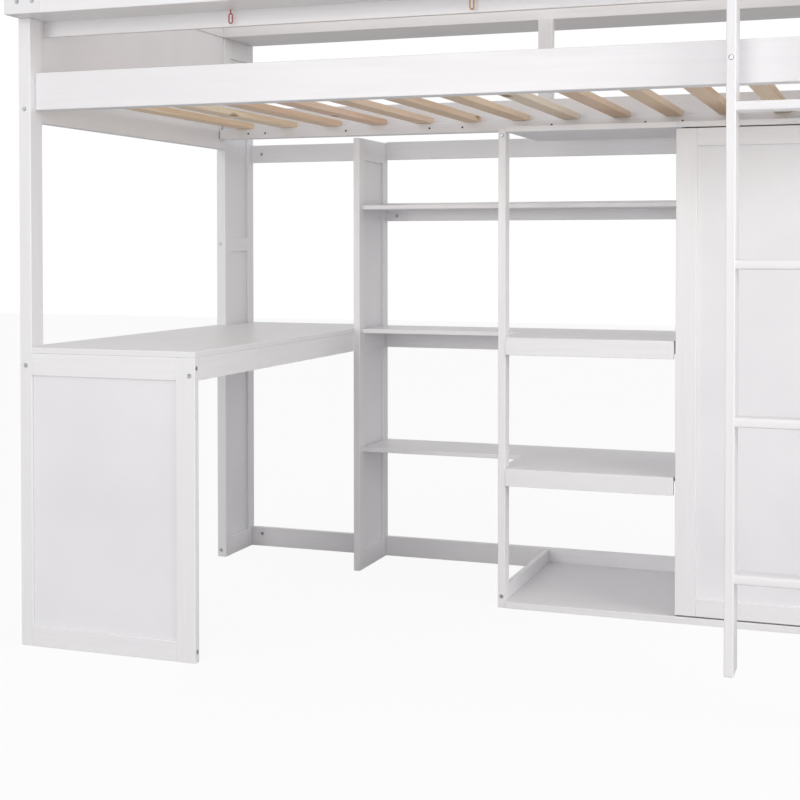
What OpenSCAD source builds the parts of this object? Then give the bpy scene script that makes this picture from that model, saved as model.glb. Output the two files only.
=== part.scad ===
// Loft bed with a desk, open shelves, a wardrobe and a ladder under and beside the bunk.
// x runs along the bed from its left end, y from the front posts to the back, z up from the floor.

/* [Bunk] */
// Length over the two ends
bed_l = 2030; // [2000:5:2100]
// Depth from the front posts to the back rails
bed_d = 1245; // [1235:5:1260]
// Height of the top edge of the guards
guard_top = 1760; // [1740:5:1850]
// Underside of the side rails
rail_z = 1334; // [1330:1:1340]
// Height of a side rail
rail_h = 92; // [80:1:110]
// Thickness of a side rail
rail_t = 25; // [20:1:30]
// Width of a front post, along the bed
post_w = 34; // [30:1:45]
// Depth of a front post
post_d = 50; // [45:1:60]

/* [Slats] */
// Number of slats
slat_n = 13; // [10:1:16]
// Width of a slat
slat_w = 48; // [45:1:70]
// Thickness of a slat
slat_t = 18; // [15:1:20]
// Side of the square ledger that the slats lie on
ledger = 30; // [20:1:30]

/* [Guard troughs] */
// Underside of the front trough, which is the top of the left post
trough_z = 1560; // [1540:5:1580]
// How far the front trough stands out before the posts
trough_out = 57; // [50:1:70]
// Front face of the front trough's inner board
trough_in = 71; // [66:1:80]
// How far the inner board hangs below the trough
trough_drop = 38; // [0:1:45]
// Width of the stile at each end of the front trough
trough_stile_w = 101; // [60:1:120]
// Underside of the rear trough
rear_trough_z = 1660; // [1600:5:1680]

/* [Desk] */
// Width of the desk top from the left end
desk_w = 488; // [480:1:520]
// Height of the desk top
desk_z = 745; // [720:1:760]
// Width of the stile at the desk panel's right edge
desk_stile_w = 51; // [40:1:60]
// Thickness of the desk panel's frame
frame_t = 19; // [16:1:22]

/* [Shelves] */
// Left face of the bookcase post
case_x = 1026; // [1015:1:1040]
// Front face of the bookcase and of the wardrobe door
case_y = 728; // [715:1:745]
// Front edge of the narrow shelves
narrow_y = 1020; // [1010:1:1030]
// Upper, middle and lower narrow shelf tops
narrow_tops = [1122, 743, 378];
// Middle and lower bookcase shelf tops
case_tops = [746, 385];
// Height of an apron under a bookcase shelf
apron_h = 48; // [40:1:60]

/* [Wardrobe] */
// Left face of the wardrobe
robe_x = 1512; // [1500:1:1530]
// Underside of the wardrobe's and the bookcase's top boards
case_top_z = 1308; // [1300:1:1312]
// Height of the hat shelf's top
hat_shelf_z = 1120; // [1060:5:1160]
// Height of the hanging rod's centre
rod_z = 1050; // [980:5:1060]
// Radius of the hanging rod
rod_r = 12.5; // [10:0.5:15]
// Thickness of the door
door_t = 18; // [16:1:20]
// Width of a door stile
door_stile_w = 54; // [45:1:65]
// Height of the door's top and bottom rails
door_rail_h = 47; // [40:1:70]
// Radius of a door pivot pin
pivot_r = 4; // [3:0.5:5]

/* [Ladder] */
// Left face of the ladder
ladder_x = 1733; // [1700:1:1740]
// Thickness of a ladder rail
ladder_t = 20; // [18:1:24]
// Depth of the left ladder rail
ladder_d = 68; // [60:1:75]
// Lower end of the ladder rails above the floor
ladder_foot = 110; // [0:5:150]
// Number of rungs
rung_n = 4; // [3:1:4]
// Height from one rung to the next
rung_pitch = 323; // [290:1:330]
// Depth of a rung
rung_d = 46; // [36:1:46]

/* [Hidden] */
$fn = 48;

white = [0.93, 0.93, 0.94];
panel_white = [0.89, 0.89, 0.91];
pine = [0.85, 0.72, 0.55];
steel = [0.55, 0.55, 0.57];
brass = [0.75, 0.6, 0.35];

board_t = 15;               // shelves, aprons and trough boards
panel_t = 7;                // recessed panels
recess = 6;                 // from a frame's face back to its panel
back_y = bed_d - board_t;   // front face of the back rails
fit_gap = 1;                // play at the end of a loose board

// rear uprights: a framed panel 30 mm thick that faces along the bed
upright_t = 30;
upright_y = bed_d - 203;
upright_stile_w = 40;
upright_foot_h = 60;
upright_mid_z = 980;
upright_mid_h = 45;

// bunk ends
end_rail_z = 1305;
end_rail_h = 125;
end_rail_t = 28;
end_inset = 3;
guard_board_t = 12;
guard_board_inset = 12;
cap_t = 25;
cap_inset = 5;
end_rail_top = end_rail_z + end_rail_h;

slat_z = rail_z + ledger;
slat_first_x = 96;
slat_pitch = (bed_l - 2 * slat_first_x - slat_w) / (slat_n - 1);
rail_front = 19;            // front face of the front side rail
bay_y = rail_front + rail_t;
ledger_w = 20;

trough_back = trough_in + board_t;
guard_post_x = 1064;
guard_post_w = 43;
trough_board_inset = 2;     // from the stiles' faces and tops back to the front board's
rear_trough_out = 9;        // how far the rear trough stands out before the uprights

desk_t = 15;
desk_under = desk_z - desk_t;
desk_rail_x = 16;           // middle of the desk's left rail
desk_rail_h = 55;
desk_foot_h = 50;

divider_x = desk_w;
divider_t = 20;
divider_end = divider_x + divider_t;
divider_y = 1001;
divider_top = 1327;
divider_stile_w = 40;
divider_top_h = 67;
divider_foot_h = 60;
divider_mid_drop = 62;
divider_mid_z = desk_under - divider_mid_drop;

back_rail_h = 57;
upper_back_z = 1273;
lower_back_h = 62;
narrow_rail_drop = 45;      // from the upper narrow shelf's top down to its rail's underside
shelf_t = 13;

case_post_w = 21;
case_post_d = 40;
case_post_y = case_y + 2;
case_post_top = 1317;
base_t = 18;
base_rail_h = 58;
bookcase_top_d = 350;

robe_play = 3;              // between the wardrobe and the right upright
robe_end = bed_l - upright_t - robe_play;
robe_side_setback = 5;      // from the door's back to the sides' front edges
robe_side_y = case_y + door_t + robe_side_setback;
robe_back_t = 5;
door_lift = 4;
door_z = base_t + door_lift;
door_swing = 5;             // how far the door's hinged edge may swing out before its side
door_top_play = 3;
door_top = case_top_z - door_top_play;
pivot_x = robe_x + door_t / 2;
pivot_y = case_y + door_t / 2;
pivot_depth = 20;
pivot_play = 0.05;
plate_t = 1.5;
plate_r = 8;
knob_x = robe_end - door_stile_w / 2;
knob_z = 660;
socket_r = 18;
socket_t = 8;
rod_y = (robe_side_y + back_y) / 2;
hat_setback = 20;

rung_h = 20;
rung_first = 322;
rung_inset = 2;
ladder_front = rail_front - ladder_d;

// small hooks under the front trough
HOOKS = [556, 1158];
hook_y = 58;
hook_drop = 8;
hook_shank_r = 1.8;
hook_w = 12;
hook_h = 26;
hook_t = 3;
hook_wall = 3;

// Bolts: where the head's face is, and the direction the shank runs. The head is sunk in its board.
bolt_r = 3;
bolt_head_r = 5.5;
bolt_head_t = 3;
bolt_proud = 0.6;
bolt_play = 0.1;
to_back = [-90, 0, 0];
to_left = [0, -90, 0];
post_bolt_zs = [1336, 700];
upright_bolt_x = 12;
upright_bolt_zs = [1003, 21];
apron_bolt_z = 687;
panel_bolt_zs = [705, 26];
back_bolt_inset = 37;       // from the board before it to a back rail's bolt
back_bolt_zs = [1301, 41];
shelf_bolt_z = 1094;
case_bolt_zs = [1300, 31];
ladder_bolt_zs = [1380, 500];
side_rail_bolt_z = 1380;
trough_bolt_xs = [37, 80];  // from the trough's end
trough_bolt_z = 1590;
long_bolt = 90;
side_bolt = 85;
mid_bolt = 70;
apron_bolt = 60;
case_bolt = 30;
thin_bolt = 13;
BOLTS = concat(
    // left post into the end rail and the desk's left rail
    [for (z = post_bolt_zs) [[desk_rail_x, 0, z], to_back, long_bolt]],
    // front edges of the rear uprights into their rails
    [for (x = [upright_bolt_x, bed_l - upright_bolt_x], z = upright_bolt_zs)
        [[x, upright_y, z], to_back, mid_bolt]],
    // desk panel's stile into the apron and into the panel's rails
    [[[desk_w - board_t, 0, apron_bolt_z], to_back, apron_bolt]],
    [for (z = panel_bolt_zs) [[desk_w, frame_t / 2, z], to_left, side_bolt]],
    // back rails, beside the left upright and beside the divider
    [for (z = back_bolt_zs) [[upright_t + back_bolt_inset, back_y, z], to_back, thin_bolt]],
    [[[divider_end + back_bolt_inset, back_y, shelf_bolt_z], to_back, thin_bolt]],
    // bookcase post, below its top and above its foot
    [for (z = case_bolt_zs) [[case_x + case_post_w / 2, case_post_y, z], to_back, case_bolt]],
    // ladder's right rail into the right post
    [for (z = ladder_bolt_zs) [[bed_l - ladder_t / 2, ladder_front, z], to_back, side_bolt]],
    // ladder's left rail into the front side rail
    [[[ladder_x + ladder_t / 2, ladder_front, side_rail_bolt_z], to_back, side_bolt]],
    // two through each stile of the front trough
    [for (x = concat(trough_bolt_xs, [for (inset = trough_bolt_xs) ladder_x - inset]))
        [[x, -trough_out, trough_bolt_z], to_back, thin_bolt]]
);

// moves the drawing so that its origin is under the middle of the bed
module datum() {
    translate([-bed_l / 2, -(bed_d - trough_out - bolt_proud) / 2, 0]) children();
}

// a board between two corners
module board(low, high) {
    translate(low) cube(high - low);
}

// the same shape at the left end and, mirrored, at the right end
module right_end() {
    translate([bed_l, 0, 0]) mirror([1, 0, 0]) children();
}

module bolt(length, grow = 0) {
    translate([0, 0, -bolt_proud]) cylinder(r = bolt_head_r + grow, h = bolt_head_t + bolt_proud);
    cylinder(r = bolt_r + grow, h = length + grow);
}

module all_bolts(grow = 0) {
    for (b = BOLTS) translate(b[0]) rotate(b[1]) bolt(b[2], grow);
}

// takes the bolt holes out of a board
module drilled() {
    difference() {
        children();
        all_bolts(bolt_play);
    }
}

// ---- bunk ----

module front_post(top) {
    board([0, 0, 0], [post_w, post_d, top]);
}

module left_front_post() color(white) datum() drilled() front_post(trough_z);

module right_front_post() color(white) datum() drilled() right_end() front_post(guard_top);

module upright_stiles() {
    for (y = [upright_y, bed_d - upright_stile_w])
        board([0, y, 0], [upright_t, y + upright_stile_w, rear_trough_z]);
}

UPRIGHT_RAILS = [
    [0, upright_foot_h],
    [upright_mid_z, upright_mid_z + upright_mid_h],
    [rear_trough_z - upright_foot_h, rear_trough_z]
];
upright_in = upright_y + upright_stile_w;
upright_out = bed_d - upright_stile_w;

module upright_rails() {
    for (z = UPRIGHT_RAILS) board([0, upright_in, z[0]], [upright_t, upright_out, z[1]]);
}

module upright_panels() {
    x = upright_t / 2 - panel_t;
    for (i = [0, 1])
        board([x, upright_in, UPRIGHT_RAILS[i][1]], [x + 2 * panel_t, upright_out, UPRIGHT_RAILS[i + 1][0]]);
}

module left_upright_stiles() color(white) datum() drilled() upright_stiles();

module left_upright_rails() color(white) datum() drilled() upright_rails();

module left_upright_panels() color(panel_white) datum() upright_panels();

module right_upright_stiles() color(white) datum() drilled() right_end() upright_stiles();

module right_upright_rails() color(white) datum() drilled() right_end() upright_rails();

module right_upright_panels() color(panel_white) datum() right_end() upright_panels();

module end_rail() {
    board([end_inset, post_d, end_rail_z], [end_inset + end_rail_t, upright_y, end_rail_top]);
}

module left_end_rail() color(white) datum() drilled() end_rail();

module right_end_rail() color(white) datum() right_end() end_rail();

// the board above an end rail
module guard_board() {
    x = guard_board_inset;
    board([x, post_d, end_rail_top], [x + guard_board_t, upright_y, rear_trough_z]);
}

// at the left it is cut back round the front trough
module left_guard_board() color(panel_white) datum() difference() {
    guard_board();
    board([0, 0, trough_z], [post_w, trough_in, guard_top]);
    board([0, trough_in, trough_z - trough_drop], [post_w, trough_back, guard_top]);
}

module right_guard_board() color(panel_white) datum() right_end() guard_board();

module guard_cap(front_y) {
    board([cap_inset, front_y, rear_trough_z], [cap_inset + cap_t, bed_d, guard_top]);
}

module guard_caps() color(white) datum() {
    guard_cap(trough_back);
    right_end() guard_cap(post_d);
}

module front_side_rail() color(white) datum() drilled()
    board([post_w, rail_front, rail_z], [bed_l - post_w, bay_y, rail_z + rail_h]);

module rear_side_rail() color(white) datum()
    board([post_w, upright_y - rail_t, rail_z], [bed_l - post_w, upright_y, rail_z + rail_h]);

module slat_ledgers() color(white) datum()
    for (y = [bay_y, upright_y - rail_t - ledger_w])
        board([post_w + fit_gap, y, rail_z], [bed_l - post_w - fit_gap, y + ledger_w, slat_z]);

module slats() color(pine) datum()
    for (i = [0 : slat_n - 1]) {
        x = slat_first_x + i * slat_pitch;
        board([x, bay_y + fit_gap, slat_z], [x + slat_w, upright_y - rail_t - fit_gap, slat_z + slat_t]);
    }

// ---- troughs along the guards ----

module trough_floor() color(white) datum()
    board([0, -trough_out + board_t, trough_z], [ladder_x, trough_in, trough_z + board_t]);

module trough_front_board() color(white) datum()
    board([trough_stile_w, -trough_out + trough_board_inset, trough_z],
          [ladder_x - trough_stile_w, -trough_out + board_t, guard_top - trough_board_inset]);

module trough_stiles() color(white) datum() drilled()
    for (x = [0, ladder_x - trough_stile_w])
        board([x, -trough_out, trough_z], [x + trough_stile_w, -trough_out + board_t, guard_top]);

module trough_inner_board() color(white) datum()
    board([0, trough_in, trough_z - trough_drop], [ladder_x, trough_back, guard_top]);

module trough_ends() color(white) datum() drilled()
    for (x = [0, ladder_x - board_t])
        board([x, -trough_out + board_t, trough_z + board_t], [x + board_t, trough_in, guard_top]);

rear_left = cap_inset + cap_t;
rear_right = bed_l - rear_left;
rear_trough_y = upright_y - rear_trough_out;

module rear_trough_floor() color(white) datum()
    board([rear_left, rear_trough_y + board_t, rear_trough_z], [rear_right, back_y, rear_trough_z + board_t]);

module rear_trough_front() color(white) datum()
    board([rear_left, rear_trough_y, rear_trough_z], [rear_right, rear_trough_y + board_t, guard_top]);

module rear_trough_back() color(white) datum()
    board([rear_left, back_y, rear_trough_z], [rear_right, bed_d, guard_top]);

module rear_guard_post() color(white) datum()
    board([guard_post_x, upright_y - rail_t, rail_z + rail_h],
          [guard_post_x + guard_post_w, upright_y, rear_trough_z]);

// ---- desk ----

// the desk top is cut back round the post, the upright and the divider
module desk_top() color(white) datum() drilled() translate([0, 0, desk_under]) linear_extrude(desk_t)
    polygon([
        [post_w, 0], [desk_w, 0], [desk_w, back_y], [upright_t, back_y],
        [upright_t, upright_y], [0, upright_y], [0, post_d], [post_w, post_d]
    ]);

module desk_panel_stile() color(white) datum() drilled()
    board([desk_w - desk_stile_w, 0, 0], [desk_w, frame_t, desk_under]);

module desk_panel_rails() color(white) datum() drilled()
    for (z = [[0, desk_foot_h], [desk_under - desk_rail_h, desk_under]])
        board([post_w, 0, z[0]], [desk_w - desk_stile_w, frame_t, z[1]]);

module desk_panel() color(panel_white) datum()
    board([post_w, recess, desk_foot_h],
          [desk_w - desk_stile_w, recess + panel_t, desk_under - desk_rail_h]);

module desk_apron() color(white) datum() drilled()
    board([desk_w - board_t, frame_t, desk_under - desk_rail_h], [desk_w, divider_y, desk_under]);

module desk_left_rail() color(white) datum() drilled()
    board([desk_rail_x - board_t / 2, post_d, desk_under - desk_rail_h],
          [desk_rail_x + board_t / 2, upright_y, desk_under]);

// ---- divider between the desk and the shelves ----

divider_in = divider_y + divider_stile_w;
divider_out = bed_d - divider_stile_w;
DIVIDER_RAILS = [
    [0, divider_foot_h],
    [divider_mid_z, divider_mid_z + divider_foot_h],
    [divider_top - divider_top_h, divider_top]
];

module divider_stiles() color(white) datum()
    for (y = [divider_y, divider_out])
        board([divider_x, y, 0], [divider_end, y + divider_stile_w, divider_top]);

module divider_rails() color(white) datum()
    for (z = DIVIDER_RAILS) board([divider_x, divider_in, z[0]], [divider_end, divider_out, z[1]]);

module divider_panels() color(panel_white) datum()
    for (i = [0, 1])
        board([divider_x + recess, divider_in, DIVIDER_RAILS[i][1]],
              [divider_x + recess + panel_t, divider_out, DIVIDER_RAILS[i + 1][0]]);

// ---- back rails and shelves ----

module back_rail(x0, x1, z, h) {
    board([x0, back_y, z], [x1, bed_d, z + h]);
}

// a rail along the whole back, in two boards that meet the divider between them
module long_back_rail(z, h) {
    back_rail(upright_t, divider_x, z, h);
    back_rail(divider_end, bed_l - upright_t, z, h);
}

module upper_back_rail() color(white) datum() drilled() long_back_rail(upper_back_z, back_rail_h);

module lower_back_rail() color(white) datum() drilled() long_back_rail(0, lower_back_h);

module shelf_back_rails() color(white) datum() drilled()
    for (z = [narrow_tops[0] - narrow_rail_drop, narrow_tops[1] - shelf_t - back_rail_h])
        back_rail(divider_end, robe_x, z, back_rail_h);

module narrow_shelves() color(white) datum()
    for (z = narrow_tops)
        board([divider_end, narrow_y, z - shelf_t], [robe_x, back_y, z]);

module bookcase_post() color(white) datum() drilled()
    board([case_x, case_post_y, 0], [case_in_x, case_in_y, case_post_top]);

case_in_x = case_x + case_post_w;
case_in_y = case_post_y + case_post_d;

// each bookcase shelf is cut back round its post and, at its front right corner, where the door's edge
// swings, and it stops at the narrow shelf behind it
module bookcase_shelves() color(white) datum()
    for (z = case_tops) translate([0, 0, z - shelf_t]) linear_extrude(shelf_t)
        polygon([
            [case_in_x, case_y + board_t], [robe_x - door_swing, case_y + board_t],
            [robe_x - door_swing, robe_side_y], [robe_x, robe_side_y], [robe_x, narrow_y],
            [case_x, narrow_y], [case_x, case_in_y], [case_in_x, case_in_y]
        ]);

module bookcase_aprons() color(white) datum()
    for (z = case_tops)
        board([case_in_x, case_y, z - apron_h], [robe_x - door_swing, case_y + board_t, z]);

module bookcase_top() color(white) datum()
    board([case_in_x, case_y, case_top_z], [robe_x, case_y + bookcase_top_d, case_top_z + board_t]);

module base_board() color(white) datum()
    board([case_in_x, case_y, 0], [robe_end, back_y, base_t]);

module base_side_rail() color(white) datum()
    board([case_in_x - board_t, case_in_y, 0], [case_in_x, back_y, base_rail_h]);

// ---- wardrobe ----

module wardrobe_sides() color(white) datum()
    for (x = [robe_x, robe_end - board_t])
        board([x, robe_side_y, base_t], [x + board_t, back_y - robe_back_t, case_top_z]);

module wardrobe_back() color(panel_white) datum()
    board([robe_x, back_y - robe_back_t, base_t], [robe_end, back_y, case_top_z]);

module wardrobe_top() color(white) datum()
    board([robe_x, case_y, case_top_z], [robe_end, back_y, case_top_z + board_t]);

module hat_shelf() color(white) datum()
    board([robe_x + board_t, robe_side_y + hat_setback, hat_shelf_z - board_t],
          [robe_end - board_t, back_y - robe_back_t, hat_shelf_z]);

module along_x(x0, r, length) {
    translate([x0, rod_y, rod_z]) rotate([0, 90, 0]) cylinder(r = r, h = length);
}

rod_left = robe_x + board_t;
rod_right = robe_end - board_t;

module hanging_rod() color(steel) datum()
    along_x(rod_left + fit_gap, rod_r, rod_right - rod_left - 2 * fit_gap);

module rod_sockets() color(steel) datum()
    for (x = [rod_left, rod_right - socket_t])
        difference() {
            along_x(x, socket_r, socket_t);
            along_x(rod_left + fit_gap, rod_r + pivot_play, rod_right - rod_left - 2 * fit_gap);
        }

module pivot_pins(grow) {
    translate([pivot_x, pivot_y, base_t]) cylinder(r = pivot_r + grow, h = pivot_depth + door_lift + grow);
    translate([pivot_x, pivot_y, door_top - pivot_depth - grow])
        cylinder(r = pivot_r + grow, h = case_top_z - door_top + pivot_depth + grow);
}

module door_stiles() color(white) datum() difference() {
    for (x = [robe_x, robe_end - door_stile_w])
        board([x, case_y, door_z], [x + door_stile_w, case_y + door_t, door_top]);
    pivot_pins(pivot_play);
}

module door_rails() color(white) datum()
    for (z = [door_z, door_top - door_rail_h])
        board([robe_x + door_stile_w, case_y, z],
              [robe_end - door_stile_w, case_y + door_t, z + door_rail_h]);

module door_panel() color(panel_white) datum()
    board([robe_x + door_stile_w, case_y + recess, door_z + door_rail_h],
          [robe_end - door_stile_w, case_y + recess + panel_t, door_top - door_rail_h]);

module door_knob() color(steel) datum()
    translate([knob_x, case_y, knob_z]) rotate([90, 0, 0]) rotate_extrude()
        polygon([
            [0, 0], [9, 0], [8, 2], [5.5, 4], [5, 12], [8, 15], [13, 17], [15, 20],
            [14.5, 23], [11, 25.5], [6, 27], [0, 27.5]
        ]);

module door_pivots() color(steel) datum() {
    pivot_pins(0);
    for (z = [base_t, case_top_z - plate_t])
        translate([pivot_x, pivot_y, z]) cylinder(r = plate_r, h = plate_t);
}

// ---- ladder ----

module ladder_rails() color(white) datum() drilled() {
    board([ladder_x, ladder_front, ladder_foot], [ladder_x + ladder_t, ladder_front + ladder_d, guard_top]);
    board([bed_l - ladder_t, ladder_front, ladder_foot], [bed_l, 0, guard_top]);
}

module ladder_rungs() color(white) datum()
    for (i = [0 : rung_n - 1]) {
        top = rung_first + i * rung_pitch;
        board([ladder_x + ladder_t, ladder_front + rung_inset, top - rung_h],
              [bed_l - ladder_t, ladder_front + rung_inset + rung_d, top]);
    }

module frame_bolts() color(steel) datum() all_bolts();

// a hook's shank goes up into the trough's floor and carries an upright oval link
module trough_hook() {
    cylinder(r = hook_shank_r, h = hook_drop);
    translate([0, hook_t / 2, 0]) rotate([90, 0, 0]) linear_extrude(hook_t) difference() {
        hook_oval(hook_w / 2);
        hook_oval(hook_w / 2 - hook_wall);
    }
}

module hook_oval(r) {
    translate([0, -hook_w / 2]) circle(r);
    translate([0, hook_w / 2 - hook_h]) circle(r);
    translate([-r, hook_w / 2 - hook_h]) square([2 * r, hook_h - hook_w]);
}

module trough_hooks() color(brass) datum()
    for (x = HOOKS) translate([x, hook_y, trough_z - hook_drop]) trough_hook();

left_front_post();
right_front_post();
left_upright_stiles();
left_upright_rails();
left_upright_panels();
right_upright_stiles();
right_upright_rails();
right_upright_panels();
left_end_rail();
right_end_rail();
left_guard_board();
right_guard_board();
guard_caps();
front_side_rail();
rear_side_rail();
slat_ledgers();
slats();
trough_floor();
trough_front_board();
trough_stiles();
trough_inner_board();
trough_ends();
rear_trough_floor();
rear_trough_front();
rear_trough_back();
rear_guard_post();
desk_top();
desk_panel_stile();
desk_panel_rails();
desk_panel();
desk_apron();
desk_left_rail();
divider_stiles();
divider_rails();
divider_panels();
upper_back_rail();
lower_back_rail();
shelf_back_rails();
narrow_shelves();
bookcase_post();
bookcase_shelves();
bookcase_aprons();
bookcase_top();
base_board();
base_side_rail();
wardrobe_sides();
wardrobe_back();
wardrobe_top();
hat_shelf();
hanging_rod();
rod_sockets();
door_stiles();
door_rails();
door_panel();
door_knob();
door_pivots();
ladder_rails();
ladder_rungs();
frame_bolts();
trough_hooks();
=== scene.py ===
"""Finish of a white loft bed with desk, shelves, wardrobe and ladder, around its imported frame."""

from __future__ import annotations

import logging
import math
import random
from dataclasses import dataclass
from enum import Enum
from typing import Mapping, Sequence

import bmesh
import bpy
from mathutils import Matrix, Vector

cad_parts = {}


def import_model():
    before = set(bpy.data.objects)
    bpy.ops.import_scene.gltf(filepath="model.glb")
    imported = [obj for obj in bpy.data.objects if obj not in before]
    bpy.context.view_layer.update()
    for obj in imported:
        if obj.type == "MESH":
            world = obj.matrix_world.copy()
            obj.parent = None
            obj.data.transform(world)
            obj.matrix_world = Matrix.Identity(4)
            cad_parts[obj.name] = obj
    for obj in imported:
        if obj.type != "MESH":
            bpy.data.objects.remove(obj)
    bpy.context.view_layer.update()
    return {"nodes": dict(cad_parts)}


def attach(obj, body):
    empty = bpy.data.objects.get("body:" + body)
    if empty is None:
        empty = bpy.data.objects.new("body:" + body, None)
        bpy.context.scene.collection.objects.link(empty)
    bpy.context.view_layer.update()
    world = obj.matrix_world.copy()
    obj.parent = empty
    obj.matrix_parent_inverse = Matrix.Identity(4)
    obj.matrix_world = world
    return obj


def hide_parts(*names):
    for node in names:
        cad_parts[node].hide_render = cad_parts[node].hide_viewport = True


LOG = logging.getLogger("loft_bed")

MM = 0.001
BODY_BED = "bed"
BODY_DOOR = "door"
CUT = "board_cut"  # a board's own number from 0 to 1: which plank it was sawn from
# The eased-edge mask also carries the lacquer's painted highlight on rounded edges.
EASED = "board_edge"  # 1 on the rounded edge of a board, 0 on its flats
CUT_SHIFT = (3.1, 5.7, 4.3)  # how far the cut number moves a board's figure, in metres


# ---- small tools -----------------------------------------------------------------------------------


def linear(code: str) -> tuple[float, float, float, float]:
    """Turns an sRGB hex colour into the linear colour that shaders and lights take.

    Args:
        code: the colour, such as "#F1F1F3".

    Returns:
        Red, green, blue and an alpha of 1.
    """
    channels = [int(code[i : i + 2], 16) / 255 for i in (1, 3, 5)]
    curve = [c / 12.92 if c <= 0.04045 else ((c + 0.055) / 1.055) ** 2.4 for c in channels]
    return (curve[0], curve[1], curve[2], 1.0)


def add(
    tree: bpy.types.NodeTree,
    kind: str,
    inputs: Mapping[str | int, object] | None = None,
    **settings: object,
) -> bpy.types.Node:
    """Adds one node to a tree, with its settings, values and links.

    Args:
        tree: the shader or geometry tree.
        kind: the node's type name.
        inputs: for each input, by name or number, a value or the output socket that feeds it.
        settings: the node's own properties.

    Returns:
        The new node.
    """
    node = tree.nodes.new(kind)
    for name, value in settings.items():
        setattr(node, name, value)
    for key, value in (inputs or {}).items():
        if isinstance(value, bpy.types.NodeSocket):
            tree.links.new(value, node.inputs[key])
        else:
            node.inputs[key].default_value = value
    return node


def link_object(name: str, mesh: bpy.types.Mesh) -> bpy.types.Object:
    """Puts a mesh into the scene as an object at the origin.

    Args:
        name: the object's name.
        mesh: its mesh.

    Returns:
        The object.
    """
    piece = bpy.data.objects.new(name, mesh)
    bpy.context.scene.collection.objects.link(piece)
    return piece


def islands(work: bmesh.types.BMesh) -> list[list[bmesh.types.BMFace]]:
    """Sorts the faces of a mesh into its separate solids.

    Args:
        work: the mesh.

    Returns:
        A list of faces for each solid, in the order of the mesh's faces.
    """
    left = set(work.faces)
    found = []
    for first in work.faces:
        if first not in left:
            continue
        left.remove(first)
        group, queue = [], [first]
        while queue:
            face = queue.pop()
            group.append(face)
            for edge in face.edges:
                for other in edge.link_faces:
                    if other in left:
                        left.remove(other)
                        queue.append(other)
        found.append(group)
    return found


# ---- finishes --------------------------------------------------------------------------------------


class Grain(Enum):
    """The way a board's grain runs, as the number of the frame's axis."""

    ALONG_BED = 0
    FRONT_TO_BACK = 1
    UPRIGHT = 2


def plank_space(tree: bpy.types.NodeTree, grain: Grain, stretch: float) -> bpy.types.NodeSocket:
    """Gives coordinates that run slowly along the grain and start at another place on each board.

    Args:
        tree: the material's tree.
        grain: the axis of the grain.
        stretch: how many times longer than wide the wood's figure is.

    Returns:
        The coordinates, in metres across the grain.
    """
    place = add(tree, "ShaderNodeTexCoord")
    cut = add(tree, "ShaderNodeAttribute", attribute_name=CUT)
    moved = add(
        tree,
        "ShaderNodeVectorMath",
        {0: cut.outputs["Vector"], 1: CUT_SHIFT, 2: place.outputs["Object"]},
        operation="MULTIPLY_ADD",
    )
    scale = [1.0, 1.0, 1.0]
    scale[grain.value] = 1.0 / stretch
    slowed = add(tree, "ShaderNodeMapping", {"Vector": moved.outputs[0], "Scale": scale})
    return slowed.outputs[0]


def noise(
    tree: bpy.types.NodeTree, where: bpy.types.NodeSocket, spacing_mm: float, detail: float
) -> bpy.types.NodeSocket:
    """Adds a noise whose lumps are about one spacing apart, and returns its height."""
    settings = {"Vector": where, "Scale": 1000 / spacing_mm, "Detail": detail, "Roughness": 0.55}
    return add(tree, "ShaderNodeTexNoise", settings).outputs["Fac"]


def ranged(
    tree: bpy.types.NodeTree, value: bpy.types.NodeSocket, low: float, high: float, start: float = 0.0,
    end: float = 1.0,
) -> bpy.types.NodeSocket:
    """Maps a value from start..end to low..high, clamped."""
    settings = {"Value": value, "From Min": start, "From Max": end, "To Min": low, "To Max": high}
    return add(tree, "ShaderNodeMapRange", settings).outputs["Result"]


def mixed(
    tree: bpy.types.NodeTree, share: bpy.types.NodeSocket, first: object, second: object
) -> bpy.types.NodeSocket:
    """Mixes two colours, each a value or a socket, by a share from 0 to 1."""
    node = add(tree, "ShaderNodeMix", {0: share, 6: first, 7: second}, data_type="RGBA")
    return node.outputs[2]


def relief(
    tree: bpy.types.NodeTree,
    coarse: bpy.types.NodeSocket,
    fine: bpy.types.NodeSocket,
    fine_share: float,
    depth_mm: float,
) -> bpy.types.NodeSocket:
    """Makes a bumped normal from a coarse and a fine height, depth_mm deep in all.

    Args:
        tree: the material's tree.
        coarse: the coarse height.
        fine: the fine height.
        fine_share: how much of the fine height is added.
        depth_mm: the depth of the relief.

    Returns:
        The bumped normal.
    """
    lifted = add(
        tree,
        "ShaderNodeMath",
        {0: fine, 1: fine_share, 2: coarse},
        operation="MULTIPLY_ADD",
    )
    bump = add(
        tree, "ShaderNodeBump", {"Strength": 1.0, "Distance": depth_mm * MM, "Height": lifted.outputs[0]}
    )
    return bump.outputs["Normal"]


def finished(tree: bpy.types.NodeTree, inputs: Mapping[str, object]) -> None:
    """Ends a material's tree in one Principled shader with these inputs."""
    shader = add(tree, "ShaderNodeBsdfPrincipled", inputs)
    add(tree, "ShaderNodeOutputMaterial", {"Surface": shader.outputs[0]})


def blank(name: str) -> tuple[bpy.types.Material, bpy.types.NodeTree]:
    """Starts a material with an empty tree.

    Args:
        name: the material's name.

    Returns:
        The material and its tree.
    """
    material = bpy.data.materials.new(name)
    material.use_nodes = True
    material.node_tree.nodes.clear()
    return material, material.node_tree


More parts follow.
